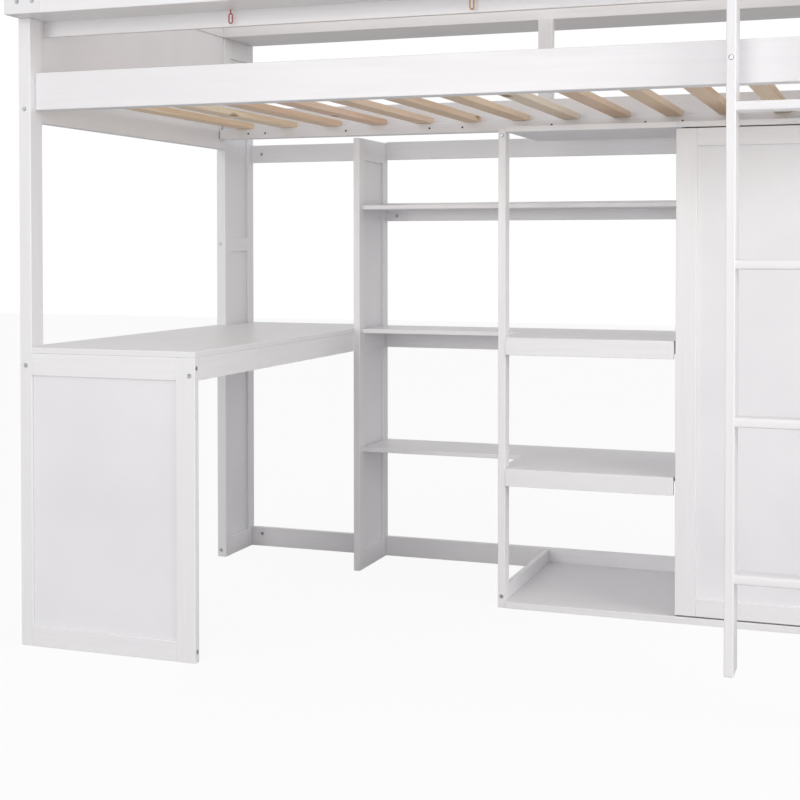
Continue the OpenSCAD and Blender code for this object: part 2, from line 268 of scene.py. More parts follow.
@dataclass(frozen=True)
class LacqueredPine:
    """White polyurethane lacquer sprayed on sanded pine: satin, with the rings just showing."""

    name: str
    grain: Grain
    colour: str = "#F2F1F2"
    sunk: str = "#E8E7E9"  # where the soft early wood took more of the first coat
    aged: str = "#EEEDEE"
    # painted highlight: a lighter white for the rounded edges, standing in for light caught there
    rim: str = "#F6F5F6"
    ring_mm: float = 11.0
    cloud_mm: float = 400.0
    stretch: float = 22.0
    peel_mm: float = 5.0  # real orange peel is 1 to 2 mm, drawn coarser so that it shows
    depth_mm: float = 0.16
    roughness: tuple[float, float] = (0.30, 0.42)

    def material(self) -> bpy.types.Material:
        """Builds the material.

        Returns:
            The new material.
        """
        material, tree = blank(self.name)
        figure = plank_space(tree, self.grain, self.stretch)
        rings = noise(tree, figure, self.ring_mm, 4.0)
        place = add(tree, "ShaderNodeTexCoord").outputs["Object"]
        peel = noise(tree, place, self.peel_mm, 2.0)
        cloud = noise(tree, place, self.cloud_mm, 2.0)
        cut = add(tree, "ShaderNodeAttribute", attribute_name=CUT).outputs["Fac"]
        edge = add(tree, "ShaderNodeAttribute", attribute_name=EASED).outputs["Fac"]
        sunk = linear(self.sunk)
        body = mixed(tree, ranged(tree, rings, 0.0, 0.45, 0.42, 0.72), linear(self.colour), sunk)
        board = mixed(tree, ranged(tree, cut, 0.0, 0.5), body, sunk)
        aged = mixed(tree, ranged(tree, cloud, 0.0, 0.35, 0.45, 0.7), board, linear(self.aged))
        # painted highlight: the rounded edges are lightened towards the rim colour
        rounded = mixed(tree, ranged(tree, edge, 0.0, 0.6), aged, linear(self.rim))
        finished(
            tree,
            {
                "Base Color": rounded,
                "Roughness": ranged(tree, rings, *self.roughness, 0.3, 0.7),
                "IOR": 1.5,
                "Coat Weight": 0.12,
                "Coat Roughness": 0.18,
                "Normal": relief(tree, rings, peel, 0.35, self.depth_mm),
            },
        )
        return material


@dataclass(frozen=True)
class LacqueredFibreboard:
    """The same lacquer rolled on fibreboard panels: no grain, a slightly greyer and flatter white."""

    name: str = "lacquered_fibreboard"
    colour: str = "#EEEDEF"
    shade: str = "#E6E5E8"
    peel_mm: float = 6.0
    roll_mm: float = 260.0
    depth_mm: float = 0.10

    def material(self) -> bpy.types.Material:
        """Builds the material.

        Returns:
            The new material.
        """
        material, tree = blank(self.name)
        place = add(tree, "ShaderNodeTexCoord").outputs["Object"]
        peel = noise(tree, place, self.peel_mm, 3.0)
        roll = noise(tree, place, self.roll_mm, 2.0)
        finished(
            tree,
            {
                "Base Color": mixed(
                    tree, ranged(tree, roll, 0.0, 0.6, 0.4, 0.7), linear(self.colour), linear(self.shade)
                ),
                "Roughness": ranged(tree, peel, 0.36, 0.48, 0.3, 0.7),
                "IOR": 1.5,
                "Coat Weight": 0.08,
                "Coat Roughness": 0.25,
                "Normal": relief(tree, peel, roll, 0.5, self.depth_mm),
            },
        )
        return material


@dataclass(frozen=True)
class SawnPine:
    """Bare planed pine of the slats: each from another plank, cream to pink, ringed and knotted."""

    name: str = "bare_planed_pine"
    cream: str = "#FAF0DF"
    tan: str = "#F4E1C4"
    pink: str = "#EFD2BC"
    ring: str = "#CFA67C"
    knot: str = "#936544"
    ring_mm: float = 8.0
    fibre_mm: float = 2.5
    knot_gap_mm: float = 150.0

    def material(self) -> bpy.types.Material:
        """Builds the material.

        Returns:
            The new material.
        """
        material, tree = blank(self.name)
        figure = plank_space(tree, Grain.FRONT_TO_BACK, 14.0)
        fibre = noise(tree, plank_space(tree, Grain.FRONT_TO_BACK, 40.0), self.fibre_mm, 3.0)
        cut = add(tree, "ShaderNodeAttribute", attribute_name=CUT).outputs["Fac"]
        wave = add(
            tree,
            "ShaderNodeTexWave",
            {
                "Vector": figure,
                "Scale": math.tau / 20 * 1000 / self.ring_mm,
                "Distortion": 5.0,
                "Detail": 2.0,
                "Detail Scale": 0.6,
            },
            wave_type="BANDS",
            bands_direction="X",
        ).outputs["Fac"]
        knots = add(
            tree,
            "ShaderNodeTexVoronoi",
            {"Vector": plank_space(tree, Grain.FRONT_TO_BACK, 2.2), "Scale": 1000 / self.knot_gap_mm},
        ).outputs["Distance"]
        pale = mixed(tree, ranged(tree, cut, 0.0, 1.0, 0.0, 0.5), linear(self.cream), linear(self.tan))
        plank = mixed(tree, ranged(tree, cut, 0.0, 1.0, 0.5, 1.0), pale, linear(self.pink))
        ringed = mixed(tree, ranged(tree, wave, 0.0, 0.42, 0.45, 1.0), plank, linear(self.ring))
        fibred = mixed(tree, ranged(tree, fibre, 0.0, 0.3, 0.5, 0.75), ringed, linear(self.ring))
        knotted = mixed(tree, ranged(tree, knots, 0.85, 0.0, 0.05, 0.11), fibred, linear(self.knot))
        finished(
            tree,
            {
                "Base Color": knotted,
                "Roughness": ranged(tree, fibre, 0.55, 0.75, 0.3, 0.7),
                "IOR": 1.5,
                "Normal": relief(tree, wave, fibre, 0.8, 0.25),
            },
        )
        return material


@dataclass(frozen=True)
class PlatedMetal:
    """A plated or turned metal: its own colour, brushed or tumbled, with faint handling marks."""

    name: str
    colour: str
    dull: str
    roughness: tuple[float, float]
    mark_mm: float = 3.0
    depth_mm: float = 0.04

    def material(self) -> bpy.types.Material:
        """Builds the material.

        Returns:
            The new material.
        """
        material, tree = blank(self.name)
        place = add(tree, "ShaderNodeTexCoord").outputs["Object"]
        marks = noise(tree, place, self.mark_mm, 3.0)
        spots = noise(tree, place, self.mark_mm * 4, 2.0)
        finished(
            tree,
            {
                "Base Color": mixed(
                    tree, ranged(tree, spots, 0.0, 1.0, 0.4, 0.7), linear(self.colour), linear(self.dull)
                ),
                "Metallic": 1.0,
                "Roughness": ranged(tree, marks, *self.roughness, 0.3, 0.7),
                "Normal": relief(tree, marks, spots, 0.5, self.depth_mm),
            },
        )
        return material


@dataclass(frozen=True)
class Enamel:
    """A dipped enamel coat on wire: strong colour, glossy, a little thinner on the bends."""

    name: str = "red_enamel"
    colour: str = "#B5301F"
    thin: str = "#7E1E14"

    def material(self) -> bpy.types.Material:
        """Builds the material.

        Returns:
            The new material.
        """
        material, tree = blank(self.name)
        runs = noise(tree, add(tree, "ShaderNodeTexCoord").outputs["Object"], 4.0, 2.0)
        finished(
            tree,
            {
                "Base Color": mixed(
                    tree, ranged(tree, runs, 0.0, 1.0, 0.4, 0.75), linear(self.colour), linear(self.thin)
                ),
                "Roughness": ranged(tree, runs, 0.15, 0.3, 0.3, 0.7),
                "IOR": 1.52,
                "Coat Weight": 0.5,
                "Coat Roughness": 0.08,
            },
        )
        return material


class Paint(Enum):
    """The finishes, and for each the name of the material slot that it belongs to."""

    ALONG = (LacqueredPine("lacquered_pine_along_bed", Grain.ALONG_BED), "white_paint")
    ACROSS = (LacqueredPine("lacquered_pine_front_to_back", Grain.FRONT_TO_BACK), "white_paint")
    UPRIGHT = (LacqueredPine("lacquered_pine_upright", Grain.UPRIGHT), "white_paint")
    PANEL = (LacqueredFibreboard(), "panel_paint")
    SLAT = (SawnPine(), "pine")
    ZINC = (PlatedMetal("zinc_plate", "#C9CBCF", "#8E9197", (0.28, 0.45)), "steel")
    CHROME = (PlatedMetal("chromed_tube", "#D9DBDE", "#C3C5C9", (0.12, 0.22)), "steel")
    NICKEL = (PlatedMetal("satin_nickel", "#CFCAC1", "#B7B1A6", (0.26, 0.36)), "nickel")
    BRASS = (PlatedMetal("lacquered_brass", "#C99B4F", "#8C6A35", (0.22, 0.38)), "hook_metal")
    BLACKED = (PlatedMetal("blacked_steel", "#3B3733", "#25211E", (0.35, 0.5)), "steel")
    RED = (Enamel(), "hook_metal")

    def material(self) -> bpy.types.Material:
        """Gives the finish's material, which is built once."""
        finish = self.value[0]
        return bpy.data.materials.get(finish.name) or finish.material()

    def slot(self) -> str:
        """Names the material slot."""
        return self.value[1]


# ---- geometry trees --------------------------------------------------------------------------------


class GrownPart:
    """A Geometry Nodes tree with named inputs, and the way to turn its result into a plain piece."""

    def __init__(self, name: str, inputs: Mapping[str, str]) -> None:
        """Starts the tree.

        Args:
            name: the tree's name.
            inputs: each input's name and its kind, such as "Float".
        """
        self.tree = bpy.data.node_groups.new(name, "GeometryNodeTree")
        face = self.tree.interface
        face.new_socket("Points", in_out="INPUT", socket_type="NodeSocketGeometry")
        for label, kind in inputs.items():
            face.new_socket(label, in_out="INPUT", socket_type=f"NodeSocket{kind}")
        face.new_socket("Geometry", in_out="OUTPUT", socket_type="NodeSocketGeometry")
        self.given = self.add("NodeGroupInput").outputs

    def add(
        self, kind: str, inputs: Mapping[str | int, object] | None = None, **settings: object
    ) -> bpy.types.Node:
        """Adds a node to this tree, as add() does."""
        return add(self.tree, kind, inputs, **settings)

    def end(self, geometry: bpy.types.NodeSocket) -> None:
        """Ends the tree: real geometry, with the finish of the input Finish.

        Args:
            geometry: what the tree has made.
        """
        real = self.add("GeometryNodeRealizeInstances", {"Geometry": geometry})
        dressed = self.add(
            "GeometryNodeSetMaterial", {"Geometry": real.outputs[0], "Material": self.given["Finish"]}
        )
        self.add("NodeGroupOutput", {"Geometry": dressed.outputs[0]})

    def grow(self, name: str, points: bpy.types.Mesh, sizes: Mapping[str, object]) -> bpy.types.Object:
        """Runs the tree once and returns the result as a plain mesh object.

        Args:
            name: the new piece's name.
            points: the points that the tree starts from.
            sizes: a value for each named input.

        Returns:
            The piece, at the origin.
        """
        seedling = link_object(name + "_seed", points)
        modifier = seedling.modifiers.new(self.tree.name, "NODES")
        modifier.node_group = self.tree
        for socket in self.tree.interface.items_tree:
            if socket.in_out == "INPUT" and socket.name in sizes:
                modifier[socket.identifier] = sizes[socket.name]
        graph = bpy.context.evaluated_depsgraph_get()
        mesh = bpy.data.meshes.new_from_object(
            seedling.evaluated_get(graph), preserve_all_data_layers=True, depsgraph=graph
        )
        seedling.modifiers.remove(modifier)
        bpy.data.objects.remove(seedling)
        mesh.name = name
        return link_object(name, mesh)


class BoardRow(GrownPart):
    """A row of equal boards with rounded long edges, such as slats or rungs."""

    def __init__(self) -> None:
        """Builds the tree: one rounded board, repeated along a line, each with its own cut number."""
        kinds = {name: "Float" for name in ("Length", "Width", "Thickness", "Ease", "Turn")}
        kinds |= {"Count": "Int", "Step": "Vector", "Seed": "Int", "Finish": "Material"}
        super().__init__("board_row", kinds)
        given = self.given
        half = self.add("ShaderNodeMath", {0: given["Length"], 1: 0.5}, operation="MULTIPLY").outputs[0]
        back = self.add("ShaderNodeMath", {0: half, 1: -1.0}, operation="MULTIPLY").outputs[0]
        path = self.add(
            "GeometryNodeCurvePrimitiveLine",
            {
                "Start": self.add("ShaderNodeCombineXYZ", {"X": back}).outputs[0],
                "End": self.add("ShaderNodeCombineXYZ", {"X": half}).outputs[0],
            },
        )
        section = self.add(
            "GeometryNodeCurvePrimitiveQuadrilateral",
            {"Width": given["Width"], "Height": given["Thickness"]},
        )
        rounded = self.add(
            "GeometryNodeFilletCurve",
            {"Curve": section.outputs[0], "Radius": given["Ease"], "Count": 4},
            mode="POLY",
        )
        solid = self.add(
            "GeometryNodeCurveToMesh",
            {"Curve": path.outputs[0], "Profile Curve": rounded.outputs[0], "Fill Caps": True},
        )
        turned = self.add(
            "GeometryNodeTransform",
            {
                "Geometry": solid.outputs[0],
                "Rotation": self.add("ShaderNodeCombineXYZ", {"Z": given["Turn"]}).outputs[0],
            },
        )
        start = self.add("GeometryNodeInputPosition")
        first = self.add(
            "GeometryNodeSampleIndex",
            {"Geometry": given["Points"], "Value": start.outputs[0]},
            data_type="FLOAT_VECTOR",
            domain="POINT",
        )
        row = self.add(
            "GeometryNodeMeshLine",
            {"Count": given["Count"], "Start Location": first.outputs[0], "Offset": given["Step"]},
        )
        placed = self.add(
            "GeometryNodeInstanceOnPoints", {"Points": row.outputs[0], "Instance": turned.outputs[0]}
        )
        number = self.add("FunctionNodeRandomValue", {"Seed": given["Seed"]}, data_type="FLOAT")
        cut = self.add(
            "GeometryNodeStoreNamedAttribute",
            {"Geometry": placed.outputs[0], "Name": CUT, "Value": number.outputs[1]},
            data_type="FLOAT",
            domain="INSTANCE",
        )
        self.end(cut.outputs[0])


class Drive(Enum):
    """The recess in a fastener's head."""

    HEX = "hex"
    CROSS = "cross"


class FastenerRow(GrownPart):
    """Round heads with a driving recess, and their shanks, at points that say which way they face."""

    FACING = "facing"
    SHANK = "shank"
    RIM = 0.86  # the head's flat top against its full radius
    BLADE = 0.42  # a cross recess's slot against its reach

    def __init__(self, drive: Drive) -> None:
        """Builds the tree.

        Args:
            drive: the recess in the head.
        """
        lengths = ("Head Radius", "Head Height", "Chamfer", "Recess", "Recess Depth", "Shank Radius")
        kinds = {name: "Float" for name in lengths} | {"Finish": "Material"}
        super().__init__(f"{drive.value}_fasteners", kinds)
        given = self.given
        disc = self.add(
            "GeometryNodeMeshCylinder",
            {"Vertices": 32, "Radius": given["Head Radius"], "Depth": given["Head Height"]},
        )
        sunk = self.moved(disc.outputs["Mesh"], self.scaled(given["Head Height"], -0.5))
        rim = self.add(
            "GeometryNodeScaleElements",
            {"Geometry": sunk, "Selection": disc.outputs["Top"], "Scale": self.RIM},
        )
        raised = self.add(
            "GeometryNodeSetPosition",
            {
                "Geometry": rim.outputs[0],
                "Selection": disc.outputs["Top"],
                "Offset": self.up(given["Chamfer"]),
            },
        )
        cutter = self.hex_cutter() if drive is Drive.HEX else self.cross_cutter()
        head = self.add(
            "GeometryNodeMeshBoolean",
            {"Mesh 1": raised.outputs[0], "Mesh 2": cutter},
            operation="DIFFERENCE",
        )
        shank = self.add(
            "GeometryNodeMeshCylinder", {"Vertices": 16, "Radius": given["Shank Radius"], "Depth": 1.0}
        )
        hung = self.add(
            "GeometryNodeTransform", {"Geometry": shank.outputs["Mesh"], "Translation": (0.0, 0.0, -0.5)}
        )
        facing = self.read(self.FACING, "FLOAT_VECTOR")
        turn = self.add("FunctionNodeAlignRotationToVector", {"Vector": facing}, axis="Z")
        depth = self.read(self.SHANK, "FLOAT")
        long = self.add("ShaderNodeCombineXYZ", {"X": 1.0, "Y": 1.0, "Z": depth})
        parts = [
            self.add(
                "GeometryNodeInstanceOnPoints",
                {
                    "Points": given["Points"],
                    "Instance": source,
                    "Rotation": turn.outputs[0],
                    "Scale": scale,
                },
            ).outputs[0]
            for source, scale in ((head.outputs[0], (1.0, 1.0, 1.0)), (hung.outputs[0], long.outputs[0]))
        ]
        both = self.add("GeometryNodeJoinGeometry")
        for part in reversed(parts):
            self.tree.links.new(part, both.inputs[0])
        self.end(both.outputs[0])

    def read(self, name: str, kind: str) -> bpy.types.NodeSocket:
        """Reads an attribute of the points."""
        return self.add("GeometryNodeInputNamedAttribute", {"Name": name}, data_type=kind).outputs[0]

    def scaled(self, value: bpy.types.NodeSocket, by: float) -> bpy.types.NodeSocket:
        """Multiplies a length."""
        return self.add("ShaderNodeMath", {0: value, 1: by}, operation="MULTIPLY").outputs[0]

    def up(self, height: bpy.types.NodeSocket) -> bpy.types.NodeSocket:
        """Makes a vector along the fastener's axis."""
        return self.add("ShaderNodeCombineXYZ", {"Z": height}).outputs[0]

    def moved(
        self, geometry: bpy.types.NodeSocket, height: bpy.types.NodeSocket
    ) -> bpy.types.NodeSocket:
        """Moves geometry along the fastener's axis."""
        settings = {"Geometry": geometry, "Translation": self.up(height)}
        return self.add("GeometryNodeTransform", settings).outputs[0]

    def hex_cutter(self) -> bpy.types.NodeSocket:
        """A six-sided plug, half of it above the head.

        Returns:
            The plug's mesh.
        """
        depth = self.scaled(self.given["Recess Depth"], 2.0)
        plug = self.add(
            "GeometryNodeMeshCylinder", {"Vertices": 6, "Radius": self.given["Recess"], "Depth": depth}
        )
        return plug.outputs["Mesh"]

    def cross_cutter(self) -> bpy.types.NodeSocket:
        """Two crossed blades, half of them above the head.

        Returns:
            The mesh of both blades.
        """
        blade = self.scaled(self.given["Recess"], 2.0)
        thin = self.scaled(self.given["Recess"], self.BLADE)
        depth = self.scaled(self.given["Recess Depth"], 2.0)
        blades = self.add("GeometryNodeMeshBoolean", operation="UNION")
        for pair in ((blade, thin), (thin, blade)):
            size = self.add("ShaderNodeCombineXYZ", {"X": pair[0], "Y": pair[1], "Z": depth})
            cube = self.add("GeometryNodeMeshCube", {"Size": size.outputs[0]})
            self.tree.links.new(cube.outputs["Mesh"], blades.inputs["Mesh 2"])
        return blades.outputs[0]

    @classmethod
    def places(cls, rows: Sequence[tuple[Vector, Vector, float]]) -> bpy.types.Mesh:
        """Makes the points for the tree.

        Args:
            rows: for each fastener the middle of its head's face, the way it faces, and its length.

        Returns:
            A mesh of points that carry the facing and the shank's length.
        """
        mesh = bpy.data.meshes.new("fastener_places")
        mesh.from_pydata([tuple(row[0]) for row in rows], [], [])
        facing = mesh.attributes.new(cls.FACING, "FLOAT_VECTOR", "POINT")
        facing.data.foreach_set("vector", [c for row in rows for c in row[1]])
        shank = mesh.attributes.new(cls.SHANK, "FLOAT", "POINT")
        shank.data.foreach_set("value", [row[2] for row in rows])
        return mesh


# ---- the joiner ------------------------------------------------------------------------------------


@dataclass(frozen=True)
class Board:
    """The box of one board in the frame."""

    low: Vector
    high: Vector

    @property
    def size(self) -> Vector:
        """Length along each axis."""
        return self.high - self.low

    @property
    def middle(self) -> Vector:
        """The board's centre."""
        return (self.low + self.high) / 2


@dataclass
class Joiner:
    """Takes the frame's plain boards and turns them into eased and lacquered ones."""

    nodes: Mapping[str, bpy.types.Object]
    merge: float = 0.01 * MM
    flat: float = math.radians(0.5)
    sharp: float = math.radians(30)
    shortest: float = 3 * MM  # a shorter edge belongs to the rim of a drilled hole, which stays crisp

    def merged(self, node: str) -> bmesh.types.BMesh:
        """Copies a node's mesh with its loose triangles joined and its flats made whole.

        Args:
            node: the frame's node.

        Returns:
            The copy, which the caller frees.
        """
        work = bmesh.new()
        work.from_mesh(self.nodes[node].data)
        bmesh.ops.remove_doubles(work, verts=work.verts, dist=self.merge)
        bmesh.ops.dissolve_limit(work, angle_limit=self.flat, verts=work.verts, edges=work.edges)
        return work

    def boards(self, node: str) -> list[Board]:
        """Measures the separate boards of a node, in order along x, then y, then z.

        Args:
            node: the frame's node.

        Returns:
            The boards.
        """
        work = self.merged(node)
        found = []
        for group in islands(work):
            points = [v.co for face in group for v in face.verts]
            low = Vector([min(p[i] for p in points) for i in range(3)])
            high = Vector([max(p[i] for p in points) for i in range(3)])
            found.append(Board(low, high))
        work.free()
        return sorted(found, key=lambda b: [round(c, 4) for c in b.low])

    def eased(self, node: str, paint: Paint, ease_mm: float, body: str = BODY_BED) -> None:
        """Makes the finished boards that stand for a node.

        Args:
            node: the frame's node.
            paint: the finish.
            ease_mm: the radius that its long edges are rounded to.
            body: the body that it rides on.
        """
        work = self.merged(node)
        cut = work.faces.layers.float.new(CUT)
        edge = work.faces.layers.float.new(EASED)
        draw = random.Random(node)
        for group in islands(work):
            number = draw.random()
            for face in group:
                face[cut] = number
        joined = [e for e in work.edges if len(e.link_faces) == 2 and e.calc_length() > self.shortest]
        arrises = [e for e in joined if e.calc_face_angle() > self.sharp]
        made = bmesh.ops.bevel(
            work,
            geom=arrises,
            offset=ease_mm * MM,
            offset_type="OFFSET",
            segments=3,
            profile=0.5,
            affect="EDGES",
            clamp_overlap=True,
        )
        for face in made["faces"]:
            face.smooth = True
            face[edge] = 1.0
        mesh = bpy.data.meshes.new(node + "_finished")
        work.to_mesh(mesh)
        work.free()
        piece = link_object(node + "_finished", mesh)
        self.dress(piece, paint, body)
        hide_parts(node)

    def dress(self, piece: bpy.types.Object, paint: Paint, body: str = BODY_BED) -> None:
        """Gives a piece its finish and lets it ride on a body.

        Args:
            piece: the piece.
            paint: its finish.
            body: the body that it rides on.
        """
        piece.data.materials.clear()
        piece.data.materials.append(paint.material())
        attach(piece, body)

    def paint_node(self, node: str, paint: Paint) -> None:
        """Gives a frame node that stays as it is its finish.

        Args:
            node: the frame's node.
            paint: its finish.
        """
        piece = self.nodes[node]
        piece.data.materials.clear()
        piece.data.materials.append(paint.material())


@dataclass
class SubAssembly:
    """One part of the bed that is put together on its own."""

    joiner: Joiner
    ease: float = 1.5  # the radius of a timber's edges, in millimetres
    panel_ease: float = 0.5

    def build(self) -> int:
        """Builds and dresses the pieces, and returns how many there are."""
        raise NotImplementedError

    def finish_all(self, paints: Mapping[str, Paint], body: str = BODY_BED) -> int:
        """Eases and paints the nodes.

        Args:
            paints: each node's paint.
            body: the body that they ride on.

        Returns:
            How many pieces were made.
        """
        for node, paint in paints.items():
            ease = self.panel_ease if paint is Paint.PANEL else self.ease
            self.joiner.eased(node, paint, ease, body)
        return len(paints)


@dataclass
class Bunk(SubAssembly):
    """Posts, uprights, end rails, guards and side rails."""

    ease: float = 2.0
    panel_ease: float = 0.6

    def build(self) -> int:
        """Builds the bunk's frame.

        Returns:
            How many pieces were made.
        """
        ends = {
            "front_post": Paint.UPRIGHT,
            "upright_stiles": Paint.UPRIGHT,
            "upright_rails": Paint.ACROSS,
            "upright_panels": Paint.PANEL,
            "end_rail": Paint.ACROSS,
            "guard_board": Paint.PANEL,
        }
        rows = {f"{end}_{name}": ends[name] for name in ends for end in ("left", "right")}
        rows["guard_caps"] = Paint.ACROSS
        rows |= {name: Paint.ALONG for name in ("front_side_rail", "rear_side_rail", "slat_ledgers")}
        return self.finish_all(rows)


@dataclass
class SlatBase(SubAssembly):
    """The bare pine slats, each held by a screw at both ends."""

    rounding: float = 2.5 * MM
    seed: int = 11
    screw_inset: float = 11 * MM

    def build(self) -> int:
        """Builds the slats and their screws.

        Returns:
            How many pieces were made.
        """
        slats = self.joiner.boards("slats")
        first, second = slats[0], slats[1]
        points = bpy.data.meshes.new("slat_start")
        points.from_pydata([tuple(first.middle)], [], [])
        piece = BoardRow().grow(
            "slats_of_bare_pine",
            points,
            {
                "Count": len(slats),
                "Step": second.middle - first.middle,
                "Length": first.size.y,
                "Width": first.size.x,
                "Thickness": first.size.z,
                "Ease": self.rounding,
                "Turn": math.pi / 2,
                "Seed": self.seed,
                "Finish": Paint.SLAT.material(),
            },
        )
        Paint.SLAT.slot()
        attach(piece, BODY_BED)
        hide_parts("slats")
        up = Vector((0, 0, 1))
        rows = [
            (Vector((slat.middle.x, y, slat.high.z)), up, slat.size.z)
            for slat in slats
            for y in (slat.low.y + self.screw_inset, slat.high.y - self.screw_inset)
        ]
        Screws().place("slat_screws", rows)
        return 2


@dataclass
class Screws:
    """Wood screws with a cross recess, which the sub-assemblies that they hold drive in."""

    radius: float = 4 * MM
    height: float = 1.6 * MM
    proud: float = 0.25 * MM
    recess: float = 0.62  # the recess's reach and the shank's radius, against the head's radius
    shank: float = 0.45
    recess_depth: float = 0.9 * MM
    paint: Paint = Paint.ZINC

    def place(self, name: str, rows: Sequence[tuple[Vector, Vector, float]]) -> None:
        """Drives a screw in at each place, all as one piece.

        Args:
            name: the piece's name.
            rows: for each screw the point on the wood, the way its head faces, and its length.
        """
        lifted = [(point + facing * self.proud, facing, length) for point, facing, length in rows]
        piece = FastenerRow(Drive.CROSS).grow(
            name,
            FastenerRow.places(lifted),
            {
                "Head Radius": self.radius,
                "Head Height": self.height,
                "Chamfer": 0.0,
                "Recess": self.radius * self.recess,
                "Recess Depth": self.recess_depth,
                "Shank Radius": self.radius * self.shank,
                "Finish": self.paint.material(),
            },
        )
        self.paint.slot()
        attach(piece, BODY_BED)


@dataclass
class Troughs(SubAssembly):
    """The open-topped troughs along the front and the rear guard."""

    def build(self) -> int:
        """Builds both troughs.

        Returns:
            How many pieces were made.
        """
        along = [
            "trough_floor", "trough_front_board", "trough_inner_board",
            "rear_trough_floor", "rear_trough_front", "rear_trough_back",
        ]
        rows = {node: Paint.ALONG for node in along}
        rows |= {"trough_stiles": Paint.UPRIGHT, "trough_ends": Paint.ACROSS}
        rows["rear_guard_post"] = Paint.UPRIGHT
        return self.finish_all(rows)


@dataclass
class Desk(SubAssembly):
    """The desk top, its framed end panel and its aprons."""

    top_ease: float = 2.0

    def build(self) -> int:
        """Builds the desk.

        Returns:
            How many pieces were made.
        """
        self.joiner.eased("desk_top", Paint.ACROSS, self.top_ease)
        return 1 + self.finish_all(
            {
                "desk_panel_stile": Paint.UPRIGHT,
                "desk_panel_rails": Paint.ALONG,
                "desk_panel": Paint.PANEL,
                "desk_apron": Paint.ACROSS,
                "desk_left_rail": Paint.ACROSS,
            }
        )


@dataclass
class Shelving(SubAssembly):
    """The divider, the back rails, the narrow shelves and the bookcase."""

    def build(self) -> int:
        """Builds the shelves.

        Returns:
            How many pieces were made.
        """
        return self.finish_all(
            {
                "divider_stiles": Paint.UPRIGHT,
                "divider_rails": Paint.ACROSS,
                "divider_panels": Paint.PANEL,
                "upper_back_rail": Paint.ALONG,
                "lower_back_rail": Paint.ALONG,
                "shelf_back_rails": Paint.ALONG,
                "narrow_shelves": Paint.ALONG,
                "bookcase_post": Paint.UPRIGHT,
                "bookcase_shelves": Paint.ALONG,
                "bookcase_aprons": Paint.ALONG,
                "bookcase_top": Paint.ALONG,
                "base_board": Paint.ALONG,
                "base_side_rail": Paint.ACROSS,
            }
        )


@dataclass
class Wardrobe(SubAssembly):
    """The wardrobe's box, its hat shelf and its hanging rod."""

    def build(self) -> int:
        """Builds the wardrobe.

        Returns:
            How many pieces were made.
        """
        made = self.finish_all(
            {
                "wardrobe_sides": Paint.UPRIGHT,
                "wardrobe_back": Paint.PANEL,
                "wardrobe_top": Paint.ALONG,
                "hat_shelf": Paint.ALONG,
            }
        )
        self.joiner.paint_node("hanging_rod", Paint.CHROME)
        self.joiner.paint_node("rod_sockets", Paint.CHROME)
        return made + 2


@dataclass
class Door(SubAssembly):
    """The framed wardrobe door with its knob and its pivots."""

    steps: int = 48
    smooth_points: int = 6
    seam: float = 0.02 * MM

    def build(self) -> int:
        """Builds the door.

        Returns:
            How many pieces were made.
        """
        made = self.finish_all(
            {
                "door_stiles": Paint.UPRIGHT,
                "door_rails": Paint.ALONG,
                "door_panel": Paint.PANEL,
            },
            BODY_DOOR,
        )
        self.knob()
        self.joiner.paint_node("door_pivots", Paint.ZINC)
        return made + 2

    def outline(self, reach: float, radius: float) -> list[tuple[float, float]]:
        """Gives the knob's outline: how far from its axis, at how far out from the door.

        Args:
            reach: the knob's length.
            radius: its greatest radius.

        Returns:
            Points from the foot to the tip, on a smooth curve through a few turned beads.
        """
        turned = [
            (0.60, 0.00), (0.58, 0.05), (0.40, 0.12), (0.34, 0.28), (0.38, 0.44), (0.62, 0.55),
            (0.90, 0.64), (1.00, 0.75), (0.94, 0.86), (0.70, 0.95), (0.36, 0.99), (0.00, 1.00),
        ]
        points = []
        for i in range(len(turned) - 1):
            around = [turned[min(max(i + k, 0), len(turned) - 1)] for k in (-1, 0, 1, 2)]
            for step in range(self.smooth_points):
                t = step / self.smooth_points
                points.append(tuple(self.spline(*[p[axis] for p in around], t) for axis in (0, 1)))
        points.append(turned[-1])
        return [(max(0.0, r) * radius, out * reach) for r, out in points]

    @staticmethod
    def spline(a: float, b: float, c: float, d: float, t: float) -> float:
        """A Catmull-Rom curve from b to c."""
        return b + 0.5 * t * (c - a + t * (2 * a - 5 * b + 4 * c - d + t * (3 * (b - c) + d - a)))

    def knob(self) -> None:
        """Turns the knob on a lathe."""
        seat = self.joiner.boards("door_knob")[0]
        axis = seat.middle
        foot = seat.high.y
        work = bmesh.new()
        profile = [
            work.verts.new((axis.x + r, foot - out, axis.z))
            for r, out in self.outline(seat.size.y, seat.size.x / 2)
        ]
        edges = [work.edges.new(pair) for pair in zip(profile, profile[1:])]
        bmesh.ops.spin(
            work,
            geom=profile + edges,
            cent=(axis.x, foot, axis.z),
            axis=(0, 1, 0),
            angle=math.tau,
            steps=self.steps,
        )
        bmesh.ops.remove_doubles(work, verts=work.verts, dist=self.seam)
        bmesh.ops.contextual_create(work, geom=[e for e in work.edges if e.is_boundary])
        bmesh.ops.recalc_face_normals(work, faces=work.faces)
        for face in work.faces:
            face.smooth = len(face.verts) <= 4  # all but the flat foot
        mesh = bpy.data.meshes.new("turned_knob")
        work.to_mesh(mesh)
        work.free()
        piece = link_object("turned_knob", mesh)
        self.joiner.dress(piece, Paint.NICKEL, BODY_DOOR)
        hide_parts("door_knob")


